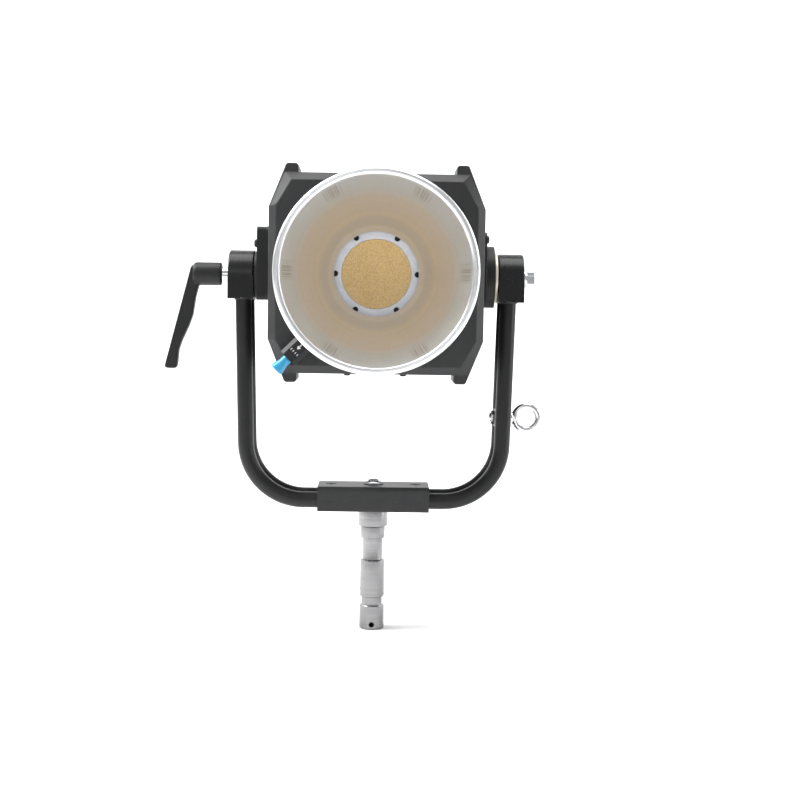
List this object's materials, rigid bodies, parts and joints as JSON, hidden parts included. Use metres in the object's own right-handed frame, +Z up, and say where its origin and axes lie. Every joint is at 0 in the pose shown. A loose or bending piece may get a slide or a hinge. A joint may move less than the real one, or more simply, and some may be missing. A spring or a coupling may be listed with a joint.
{
  "type": "open-face studio spotlight head with yoke",
  "caption": "Open-face LED studio spotlight head with a bowl reflector on a bayonet, in a tilting twin-tube yoke with a lock lever, safety eye and spigot.",
  "frame": {"origin": "centre of the receiver's mouth at the spigot's lower end", "axes": "+Z up along the spigot, the light shines to -Y, +X to the right of someone who looks into the lamp"},
  "size_m": [0.4267, 0.4475, 0.517],
  "materials": {
    "black_paint": "satin",
    "grey_casing": "matt",
    "black_casing": "matt",
    "black_block": "anodised",
    "steel": "turned",
    "chrome": "polished",
    "polished_aluminium": "polished",
    "spun_aluminium": "satin",
    "plain_aluminium": "milled",
    "brass": "satin",
    "copper": "satin",
    "phosphor": "fine pebbled",
    "white_plastic": "satin",
    "blue_knob": "satin",
    "black_plastic": "matt",
    "green_board": "satin"
  },
  "bodies": {
    "yoke": {"spigot": "steel", "clamp_block_lower": "black_block", "clamp_block_upper": "black_block", "clamp_screws": "black_paint", "spigot_washer": "chrome", "spigot_nut": "chrome", "yoke_tube_front": "black_paint", "yoke_tube_rear": "black_paint", "yoke_hub_left": "black_block", "yoke_hub_right": "black_block", "hub_bushes": "brass", "eye_boss": "black_paint", "safety_eye": "chrome", "safety_eye_nut": "chrome"},
    "lever": {"lever_stud": "chrome", "lever_screw": "chrome", "lever_spring": "steel"},
    "lever_handle": {"lever_handle": "black_casing"},
    "latch": {"latch_pin": "steel", "latch_knob": "blue_knob"},
    "reflector": {"reflector_bowl": "spun_aluminium", "reflector_rim": "polished_aluminium", "reflector_adapter": "black_casing", "adapter_plate": "black_casing", "reflector_rivets": "plain_aluminium"},
    "fan_left": {"fan_rotor_left": "black_plastic"},
    "fan_right": {"fan_rotor_right": "black_plastic"},
    "head": {"front_frame": "grey_casing", "rear_frame": "grey_casing", "middle_shell": "grey_casing", "side_plate_left": "black_casing", "side_plate_right": "black_casing", "side_plate_screws": "black_casing", "tilt_shaft_left": "steel", "tilt_shaft_right": "steel", "pivot_washer": "chrome", "pivot_bolt": "chrome", "friction_disc_left": "black_plastic", "brass_washer": "brass", "spacer_washers": "black_plastic", "cob_substrate": "plain_aluminium", "cob_emitter": "phosphor", "cob_retainer": "white_plastic", "cob_screws": "black_casing", "mount_ring": "black_casing", "latch_housing": "black_casing", "latch_spring": "steel", "heat_spreader": "copper", "heat_pipes": "copper", "fin_stack": "plain_aluminium", "fan_bracket": "plain_aluminium", "fan_frame_left": "black_plastic", "fan_frame_right": "black_plastic", "driver_board": "green_board", "rear_grille": "black_casing", "casing_screws": "black_casing", "handle_posts": "black_casing", "handle_grip": "black_plastic", "power_inlet": "chrome", "inlet_contacts": "black_plastic"}
  },
  "joints": [
    {"name": "head_tilt", "type": "hinge", "parent": "yoke", "child": "head", "pos_m": [0, 0, 0.399], "axis": [1, 0, 0], "range_deg": [-90, 50]},
    {"name": "lever_turn", "type": "hinge", "parent": "yoke", "child": "lever", "pos_m": [-0.18, 0, 0.399], "axis": [1, 0, 0], "range_deg": [-150, 30]},
    {"name": "handle_lift", "type": "slide", "parent": "lever", "child": "lever_handle", "axis": [-1, 0, 0], "range_m": [0, 0.006], "stiffness_N_per_m": 900, "springref_m": -0.004},
    {"name": "latch_pull", "type": "slide", "parent": "head", "child": "latch", "axis": [-0.7145, 0, -0.6997], "range_m": [0, 0.006], "stiffness_N_per_m": 700, "springref_m": -0.006},
    {"name": "reflector_twist", "type": "hinge", "parent": "head", "child": "reflector", "pos_m": [0, -0.11, 0.401], "axis": [0, -1, 0], "range_deg": [0, 22]},
    {"name": "fan_left_spin", "type": "hinge", "parent": "head", "child": "fan_left", "pos_m": [-0.049, 0.084, 0.401], "axis": [0, 1, 0], "continuous": true},
    {"name": "fan_right_spin", "type": "hinge", "parent": "head", "child": "fan_right", "pos_m": [0.049, 0.084, 0.401], "axis": [0, 1, 0], "continuous": true}
  ]
}
